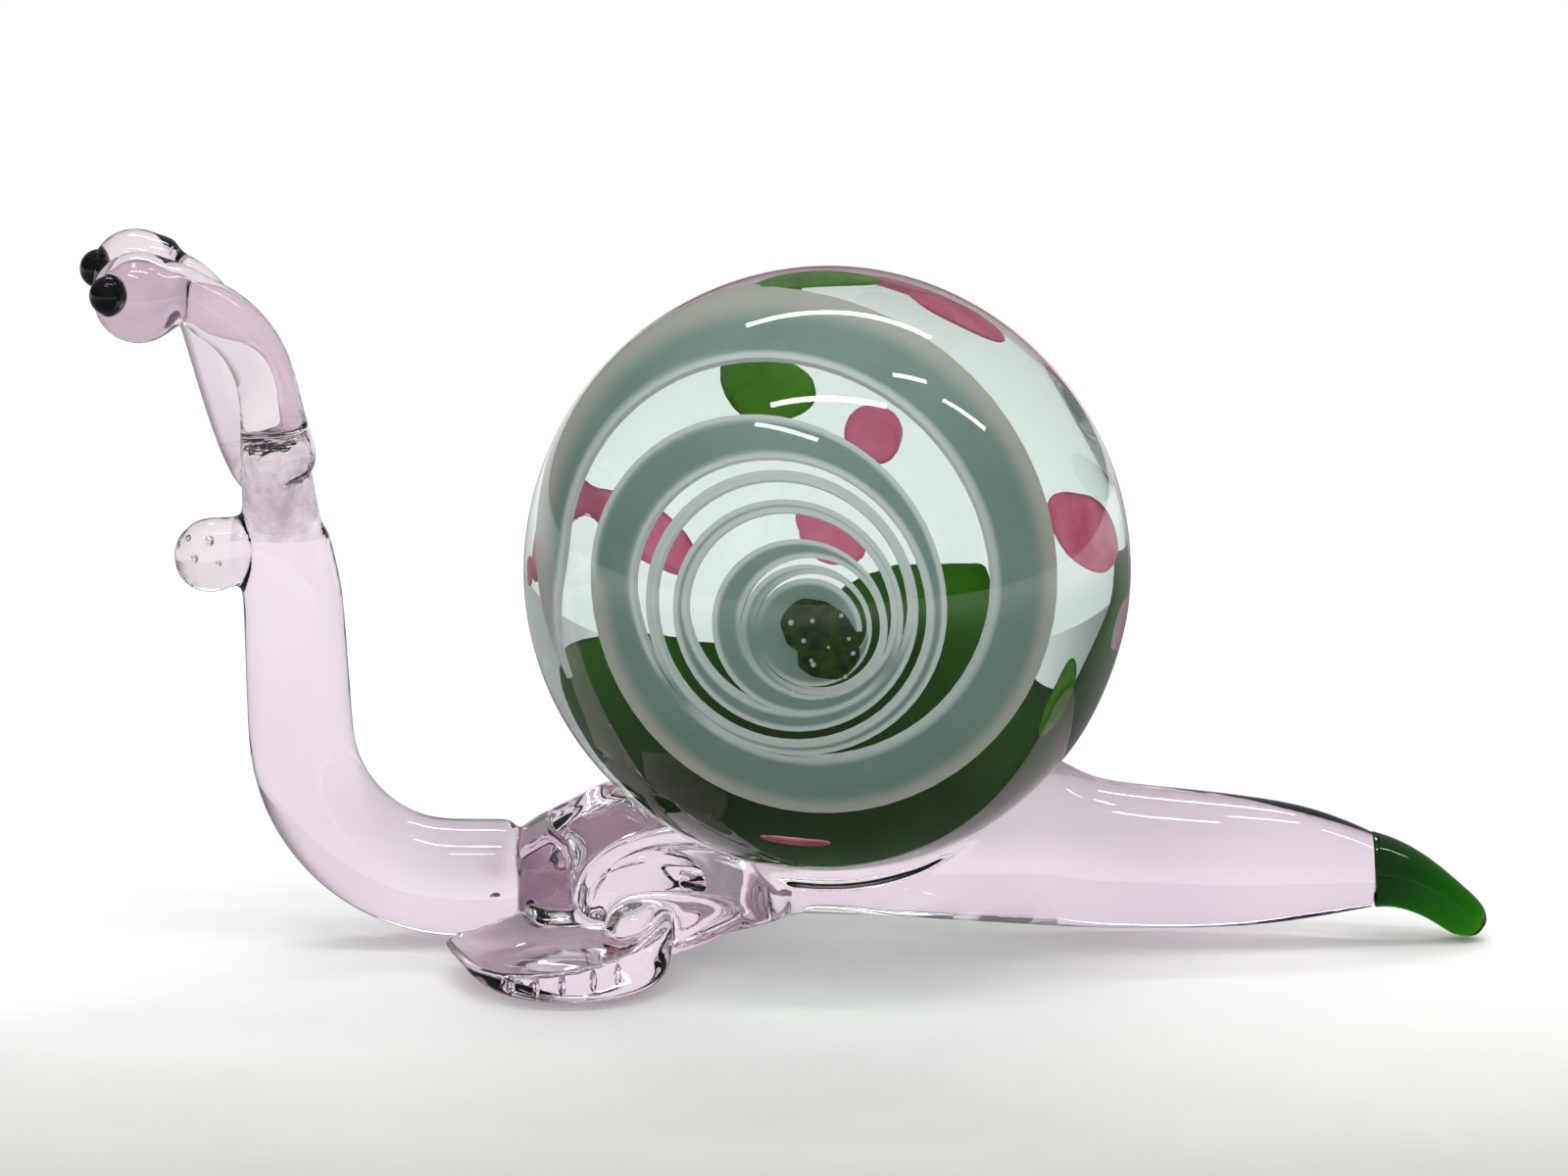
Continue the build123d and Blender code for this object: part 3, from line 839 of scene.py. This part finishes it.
def make_stalk(side, root, run, heading, bend, splay):
    """One stalk with its bulb, and the black bead that is its eye."""
    x, y, z = root
    stations = bent((x, z), run, bend, 0.0, STALK_SIZES, heading, -1)[:-RISE_STEPS]
    if side == "left":
        lean = math.radians(heading)
        flare = [(x - way * math.cos(lean), z + way * math.sin(lean), heading, size)
                 for way, size in STALK_FLARE]
        stations = [*flare, *stations[1:]]
    end_x, end_z, end_heading, _ = stations[-1]
    ahead = Vector((-math.cos(math.radians(end_heading)), 0, math.sin(math.radians(end_heading))))
    centre = Vector((end_x, y, end_z))
    stations = stations[:-BULB_STATIONS]
    for step, size in BULB_STEPS:
        place = centre + ahead * step
        stations.append((place.x, place.z, end_heading, size))
    stalk = fire_polish(pull_rod(side + "_stalk", stations, y))
    eye_heading = math.radians(end_heading + EYE_LIFT)
    yaw = math.radians(EYE_YAW[side])
    gaze = Vector((-math.cos(eye_heading) * math.cos(yaw), -math.cos(eye_heading) * math.sin(yaw),
                   math.sin(eye_heading)))
    eye_middle = centre + gaze * (BULB_RADIUS - EYE_SINK)
    drop_selection()
    bpy.ops.mesh.primitive_uv_sphere_add(segments=32, ring_count=16, radius=EYE_SIZE / 2 * MM,
                                         location=eye_middle * MM, rotation=(0, -eye_heading, 0))
    eye = fire_polish(settle(side + "_eye_bead"), 1)
    return swivel(stalk, splay, root), swivel(eye, splay, root)


stalks = {side: make_stalk(side, *values) for side, *values in STALKS}

# Muzzle: a round nub on the front of the neck, just under the head, turned a little to one side
MUZZLE_TURN = 8.0
MUZZLE_ROOT = (-25.7, 0.0, 20.8)
MUZZLE = (
    (-26.0, 20.85, -7.0, 3.4), (-27.6, 20.70, -7.0, 3.4), (-28.3, 20.58, -7.0, 3.55),
    (-28.8, 20.50, -7.0, 3.8), (-29.3, 20.42, -7.0, 3.85), (-29.9, 20.33, -7.0, 3.6),
    (-30.45, 20.25, -7.0, 2.9), (-30.85, 20.18, -7.0, 1.9), (-31.05, 20.15, -7.0, 0.9),
)
muzzle = fire_polish(swivel(pull_rod("muzzle", MUZZLE), MUZZLE_TURN, MUZZLE_ROOT))

# Front feet: boat-shaped pads, hollowed on top and tilted up to the chest. Height, middle and reach of
# each ring from the ground up, then how far each step of the hollow goes in and down.
FOOT_RINGS = ((0.05, -10.6, -8.5, 4.2, 4.3), (0.6, -10.7, -8.0, 5.0, 5.0), (2.1, -11.0, -7.6, 5.7, 5.3))
FOOT_POINTS = 64
FOOT_SLOPE = (4.5, 8.0)
HOLLOW = ((0.5, 0.0), (0.5, -0.5), (0.9, -0.75), (1.3, -0.2))
FOOT_TIP = ((-16.8, -6.3, 1.8), (-0.9, 0.5, 0.0), 2.6)
HEEL = ((-9.0, 1.8, 180.0, 3.0), (-6.5, 2.1, 180.0, 3.5), (-3.5, 2.6, 180.0, 3.2), (-1.0, 3.0, 180.0, 2.2))
HEEL_SIDE = 6.3
HEEL_TURN = 24.0
# The glass that fills the corner between chest and heel
SKIRT = ((-10.6, -3.0, 1.2, 4.2, 2.2), (-9.2, -3.1, 1.0, 5.8, 3.8), (-6.5, -3.1, 0.9, 6.7, 5.0),
         (-3.5, -3.0, 1.1, 6.3, 4.6), (-1.0, -2.6, 1.5, 5.4, 3.4), (0.8, -2.3, 2.0, 4.8, 1.8))
# The right foot was set on a little more splayed: its turn, and the place that it turns about
SPLAY = -21.0
SPLAY_PLACE = (-5.5, 4.0, 0.0)
CRIMP_X = (-13.55, -12.3, -11.0, -9.45, -8.24)
CRIMP_SIZE = (0.2, 0.65, 0.6)
CRIMP_DROP = 0.75


def make_left_foot():
    """The left foot, drawn ring by ring, with the heel that runs back along the chest."""
    (z, x, y, reach_x, reach_y), *rings = FOOT_RINGS
    foot = first_ring("left_foot", FOOT_POINTS, 1, at(x, y, z))
    bpy.ops.transform.resize(value=(reach_x, reach_y, 1), center_override=at(x, y, z))
    for next_z, next_x, next_y, next_reach_x, next_reach_y in rings:
        step = at(next_x - x, next_y - y, next_z - z)
        bpy.ops.mesh.extrude_region_move(TRANSFORM_OT_translate={"value": step})
        bpy.ops.transform.resize(value=(next_reach_x / reach_x, next_reach_y / reach_y, 1),
                                 center_override=at(next_x, next_y, next_z))
        z, x, y, reach_x, reach_y = next_z, next_x, next_y, next_reach_x, next_reach_y
    back_up, right_up = FOOT_SLOPE
    bpy.ops.transform.rotate(value=TURN * math.radians(back_up), orient_axis="X",
                             center_override=at(x, y - reach_y, z))
    bpy.ops.transform.rotate(value=-TURN * math.radians(right_up), orient_axis="Y",
                             center_override=at(x, y, z))
    for width, drop in HOLLOW:
        bpy.ops.mesh.inset(thickness=width * MM)
        bpy.ops.transform.translate(value=at(0, 0, drop))
    fire_polish(foot, 1)
    push(foot, *FOOT_TIP)
    heel = swivel(pull_rod("left_heel", HEEL, -HEEL_SIDE), HEEL_TURN, (HEEL[0][0], -HEEL_SIDE, 0))
    fire_polish(heel)
    skirt = fire_polish(pull_bar("left_skirt", SKIRT))
    return join("left_foot", [foot, heel, skirt])


left_foot = make_left_foot()
# The right foot is its mirror image
right_foot = copy_of(left_foot, "right_foot")
open_up(right_foot)
bpy.ops.transform.resize(value=(1, -1, 1), center_override=(0, 0, 0))
bpy.ops.mesh.normals_make_consistent(inside=False)
swivel(right_foot, SPLAY, SPLAY_PLACE)

# Fusing: in the flame the pink rods run together. The glass is then parted again at the welds, where
# the cut faces let the light straight through. Grain of the melt, and how long it is in the flame.
FUSE_GRAIN = 0.16
FLAME_STEPS = 26


def fuse(name, rods):
    """Melts rods into one body of glass, with the soft hollows that a flame leaves between them."""
    body = join(name, rods)
    apply_modifier(body, "REMESH", mode="VOXEL", voxel_size=FUSE_GRAIN * MM)
    apply_modifier(body, "SMOOTH", factor=0.5, iterations=FLAME_STEPS)
    two_glasses(body, pink_glass, weld_glass, 0)
    return body


body = fuse("pink_chest", [chest, tail, neck, head, muzzle, left_foot, right_foot, *beads,
                           *(stalk for stalk, _ in stalks.values())])


def fuse_ball(ball, body):
    """Marks the ball's faces that lie in the body, then takes the ball's shape out of the body, with a
    hair's gap, and marks that face as fused too."""
    two_glasses(ball, clear_glass, weld_glass, 0)
    skin = BVHTree.FromObject(body, bpy.context.evaluated_depsgraph_get())
    for face in ball.data.polygons:
        if face.center.z < BALL_MIDDLE[2] * MM:
            nearest, normal, _, _ = skin.find_nearest(face.center)
            face.material_index = 1 if (face.center - nearest).dot(normal) < 0 else 0
    cutter = copy_of(ball, "ball_cutter")
    two_glasses(cutter, pink_glass, weld_glass, 1)
    apply_modifier(cutter, "DISPLACE", strength=WELD_GAP * MM, mid_level=0.0)
    cut_with(body, cutter, "DIFFERENCE")
    bpy.data.objects.remove(cutter)


fuse_ball(ball, body)


def crimp(body, side):
    """Nips the lip of a foot with the pliers: upright slits along its front."""
    _, middle_x, middle_y, reach_x, reach_y = FOOT_RINGS[1]
    lip, lip_x = FOOT_RINGS[2][:2]
    for x in CRIMP_X:
        y = middle_y - reach_y * math.sqrt(1 - ((x - middle_x) / reach_x) ** 2)
        z = lip + (x - lip_x) * math.tan(math.radians(FOOT_SLOPE[1])) - CRIMP_DROP
        place, turn = at(x, -side * y, z), 0.0
        if side > 0:
            turn = math.radians(SPLAY)
            place = at(*SPLAY_PLACE) + Matrix.Rotation(turn, 3, "Z") @ (place - at(*SPLAY_PLACE))
        drop_selection()
        bpy.ops.mesh.primitive_uv_sphere_add(segments=16, ring_count=12, radius=1, location=place,
                                             rotation=(0, 0, turn), scale=at(*CRIMP_SIZE))
        cutter = settle("pliers")
        cutter.data.materials.append(pink_glass)
        cut_with(body, cutter, "DIFFERENCE")
        bpy.data.objects.remove(cutter)


crimp(body, -1)
crimp(body, 1)

# Welds at which the fused glass is parted again: the piece that is cut off, and two corners of the box
# that it is cut with. What is left is the chest.
FAR = 60.0
WELDS = (
    ("pink_tail", (0.1, -FAR, -FAR), (30.28, FAR, FAR)),
    ("tail_stub", (30.28, -FAR, -FAR), (FAR, FAR, FAR)),
    ("left_foot_pad", (-FAR, -FAR, -FAR), (-3.2, -3.5, 3.9)),
    ("right_foot_pad", (-FAR, 3.5, -FAR), (-3.2, FAR, 3.9)),
    ("pale_muzzle", (-FAR, -FAR, 17.0), (-28.0, FAR, 22.4)),
    ("left_stalk_glass", (-FAR, -FAR, 26.0), (-18.0, 0.0, FAR)),
    ("right_stalk_glass", (-FAR, 0.0, 26.0), (-18.0, FAR, FAR)),
    ("pink_head", (-FAR, -FAR, 21.45), (-18.0, FAR, FAR)),
    ("pink_neck", (-FAR, -FAR, -FAR), (-14.3, FAR, FAR)),
)
# Bubbles in the muzzle: place and diameter
MUZZLE_AIR = ((-30.55, -0.7, 20.9, 0.36), (-30.05, -0.9, 21.25, 0.3), (-29.15, -0.9, 21.1, 0.42),
              (-29.75, -1.0, 20.4, 0.34), (-30.45, -0.7, 19.9, 0.3), (-28.8, -0.9, 20.2, 0.26))
# Corners sharper than this many degrees stay sharp
WELD_CREASE = 35.0

tail, tail_stub, left_foot, right_foot, muzzle, left_stalk, right_stalk, head, neck = (
    split_off(body, *weld) for weld in WELDS)
bpy.data.objects.remove(tail_stub)
blow_seeds(muzzle, MUZZLE_AIR)
for piece in (body, tail, neck, left_foot, right_foot, muzzle, left_stalk, right_stalk, head):
    pick(piece)
    bpy.ops.object.shade_smooth_by_angle(angle=math.radians(WELD_CREASE))

give(ball, clear_glass, "clear_glass", "shell_ball")
give(ribbon, opal_white, "white_glass", "spiral_cane")
give(apex, dark_green_frit, "dark_green_glass", "apex_chip")
give(back_patch, shaded_green_frit, "green_glass", "green_back_patch")
give(green_chips, green_frit, "green_glass", "green_chips")
give(pink_chips, rose_frit, "rose_glass", "pink_chips")
give(body, pink_glass, "pink_glass", "chest")
give(tail, pink_glass, "pink_glass", "tail")
give(neck, pink_glass, "pink_glass", "neck")
give(tail_tip, green_glass, "dark_green_glass", "tail_tip")
give(head, collar_glass, "pink_glass", "head")
give(muzzle, nub_glass, "pink_glass", "muzzle")
give(left_stalk, pale_glass, "pink_glass", "left_stalk")
give(right_stalk, pale_glass, "pink_glass", "right_stalk")
for side, (_, eye) in stalks.items():
    give(eye, black_glass, "black_glass", side + "_eye")
give(left_foot, thin_glass, "pink_glass", "left_foot")
give(right_foot, thin_glass, "pink_glass", "right_foot")

# Floor: pale paper that runs out to white round the snail. Painted shade greys it in front, and it is a little
# uneven.
FLOOR_SIZE = 3000.0
FLOOR_DROP = 0.03
WHITE_FROM, WHITE_TO = 60.0, 260.0
FRONT_SHADE_FROM, FRONT_SHADE_TO = -2.0, -42.0
PAPER_GRAIN, GRAIN_SHARE = 8.0, 0.16


def mirror_ray(tree):
    """The light path, and whether it is a mirror image that is seen."""
    ray = add_node(tree, "ShaderNodeLightPath")
    mirror = add_node(tree, "ShaderNodeMath", {"operation": "MULTIPLY"},
                      {0: ray.outputs["Is Glossy Ray"], 1: ray.outputs["Is Reflection Ray"]})
    return ray, mirror.outputs["Value"]


def paper_floor():
    """Matt white paper: no gloss, a faint unevenness, painted shade greying it in front, and darker in a
    mirror image.
    """
    material, tree, output, place = new_material("pale_paper")
    distance = add_node(tree, "ShaderNodeVectorMath", {"operation": "LENGTH"}, {0: place})
    fade = add_node(tree, "ShaderNodeMapRange",
                    {"From Min": WHITE_FROM * MM, "From Max": WHITE_TO * MM,
                     "interpolation_type": "SMOOTHSTEP"}, {"Value": distance.outputs["Value"]})
    parts = add_node(tree, "ShaderNodeSeparateXYZ", links={"Vector": place})
    # Painted shade: the paper greys towards the front
    ahead = add_node(tree, "ShaderNodeMapRange", {"From Min": FRONT_SHADE_TO * MM, "From Max": FRONT_SHADE_FROM * MM},
                     {"Value": parts.outputs["Y"]})
    grain = add_node(tree, "ShaderNodeTexNoise", {"Scale": 1 / (PAPER_GRAIN * MM), "Detail": 4.0},
                     {"Vector": place})
    uneven = add_node(tree, "ShaderNodeMath", {"operation": "MULTIPLY_ADD", 1: GRAIN_SHARE},
                      {0: grain.outputs["Fac"], 2: ahead.outputs["Result"]})
    tone = add_node(tree, "ShaderNodeValToRGB", links={"Fac": uneven.outputs["Value"]})
    tone.color_ramp.elements[0].color = linear("#B2B4AF")
    tone.color_ramp.elements[1].color = linear("#E9EAE7")
    _, mirror = mirror_ray(tree)
    held = add_node(tree, "ShaderNodeMix", {"data_type": "RGBA", 7: linear("#707070")},
                    {0: mirror, 6: tone.outputs["Color"]})
    paper = add_node(tree, "ShaderNodeBsdfPrincipled", {"Roughness": 0.9, "Specular IOR Level": 0.1},
                     {"Base Color": held.outputs[2]})
    glow = add_node(tree, "ShaderNodeEmission", {"Color": (1, 1, 1, 1), "Strength": 1.0})
    mix = add_node(tree, "ShaderNodeMixShader", links={"Fac": fade.outputs["Result"], 1: paper.outputs["BSDF"],
                                                       2: glow.outputs["Emission"]})
    tree.links.new(mix.outputs["Shader"], output.inputs["Surface"])
    return material


drop_selection()
bpy.ops.mesh.primitive_grid_add(x_subdivisions=8, y_subdivisions=8, size=FLOOR_SIZE * MM,
                                location=at(0, 0, -FLOOR_DROP))
floor = settle("paper_floor")
floor.data.materials.append(paper_floor())

# Light: a white tent, a little brighter on the side of the camera and darker at both ends, and long
# lamps overhead
TENT_FRONT, TENT_BACK, TENT_TOP = 1.25, 1.0, 1.05
END_SHADE = 0.35
# Where, on a ball of radius 1 round the snail, the front runs into the back, the walls into the ends and
# the walls into the top
FRONT_TO_BACK, WALL_TO_END, WALL_TO_TOP = (-0.9, 0.3), (0.4, 0.88), (0.4, 0.8)
# Share of the tent and the floor that glass mirrors, as through a polarising filter
MIRRORED = 0.25
# Way from the snail, length, width and power of each lamp
LAMP_DISTANCE = 460.0
LAMPS = (
    ("lamp_behind", (0.05, 0.57, 0.82), 330.0, 20.0, 0.45),
    ("lamp_above", (0.0, -0.19, 0.98), 300.0, 20.0, 0.4),
    ("lamp_right", (0.39, 0.10, 0.92), 16.0, 80.0, 0.08),
    ("lamp_front", (-0.24, -0.39, 0.89), 190.0, 14.0, 0.14),
    ("lamp_tail", (0.66, 0.05, 0.75), 14.0, 120.0, 0.10),
)


def make_tent():
    world = bpy.data.worlds.new("white_tent")
    bpy.context.scene.world = world
    world.use_nodes = True
    tree = world.node_tree
    tree.nodes.clear()
    output = add_node(tree, "ShaderNodeOutputWorld")
    way = add_node(tree, "ShaderNodeTexCoord")
    parts = add_node(tree, "ShaderNodeSeparateXYZ", links={"Vector": way.outputs["Generated"]})
    sideways = add_node(tree, "ShaderNodeMath", {"operation": "ABSOLUTE"}, {0: parts.outputs["X"]})
    level, ends, height = (
        add_node(tree, "ShaderNodeMapRange",
                 {"From Min": start, "From Max": end, "To Min": first, "To Max": last,
                  "interpolation_type": "SMOOTHSTEP"}, {"Value": value}).outputs["Result"]
        for start, end, first, last, value in (
            (*FRONT_TO_BACK, TENT_FRONT, TENT_BACK, parts.outputs["Y"]),
            (*WALL_TO_END, 1.0, END_SHADE, sideways.outputs["Value"]),
            (*WALL_TO_TOP, 0.0, 1.0, parts.outputs["Z"])))
    walls = add_node(tree, "ShaderNodeMath", {"operation": "MULTIPLY"}, {0: level, 1: ends})
    dome = add_node(tree, "ShaderNodeMix", {3: TENT_TOP}, {0: height, 2: walls.outputs["Value"]})
    ray, mirror = mirror_ray(tree)
    held = add_node(tree, "ShaderNodeMapRange", {"To Min": 1.0, "To Max": MIRRORED}, {"Value": mirror})
    seen = add_node(tree, "ShaderNodeMath", {"operation": "MULTIPLY"},
                    {0: dome.outputs["Result"], 1: held.outputs["Result"]})
    strength = add_node(tree, "ShaderNodeMath", {"operation": "MAXIMUM"},
                        {0: seen.outputs["Value"], 1: ray.outputs["Is Camera Ray"]})
    tent = add_node(tree, "ShaderNodeBackground", {"Color": (1, 1, 1, 1)},
                    {"Strength": strength.outputs["Value"]})
    tree.links.new(tent.outputs["Background"], output.inputs["Surface"])


make_tent()
for name, way, length, width, power in LAMPS:
    place = at(*BALL_MIDDLE) + Vector(way).normalized() * LAMP_DISTANCE * MM
    drop_selection()
    bpy.ops.object.light_add(type="AREA", location=place)
    lamp = bpy.context.object
    lamp.name = name
    lamp.data.shape = "RECTANGLE"
    lamp.data.size = length * MM
    lamp.data.size_y = width * MM
    lamp.data.energy = power
    lamp.rotation_euler = (at(*BALL_MIDDLE) - place).to_track_quat("-Z", "Y").to_euler()

# Camera: 13 degrees above the level, with a long lens
CAMERA_TARGET = (0.0, 0.0, 18.6)
CAMERA_DISTANCE = 300.0
CAMERA_ELEVATION = 13.0
CAMERA_LENS, SENSOR_WIDTH = 135.0, 36.0
CLIP_START = 10.0
elevation = math.radians(CAMERA_ELEVATION)
way_back = at(0, -math.cos(elevation), math.sin(elevation)) * CAMERA_DISTANCE
drop_selection()
bpy.ops.object.camera_add(location=at(*CAMERA_TARGET) + way_back, rotation=(math.pi / 2 - elevation, 0, 0))
camera = bpy.context.object
camera.data.lens = CAMERA_LENS
camera.data.sensor_width = SENSOR_WIDTH
camera.data.clip_start = CLIP_START * MM
bpy.context.scene.camera = camera
bpy.context.scene.view_settings.view_transform = "Standard"
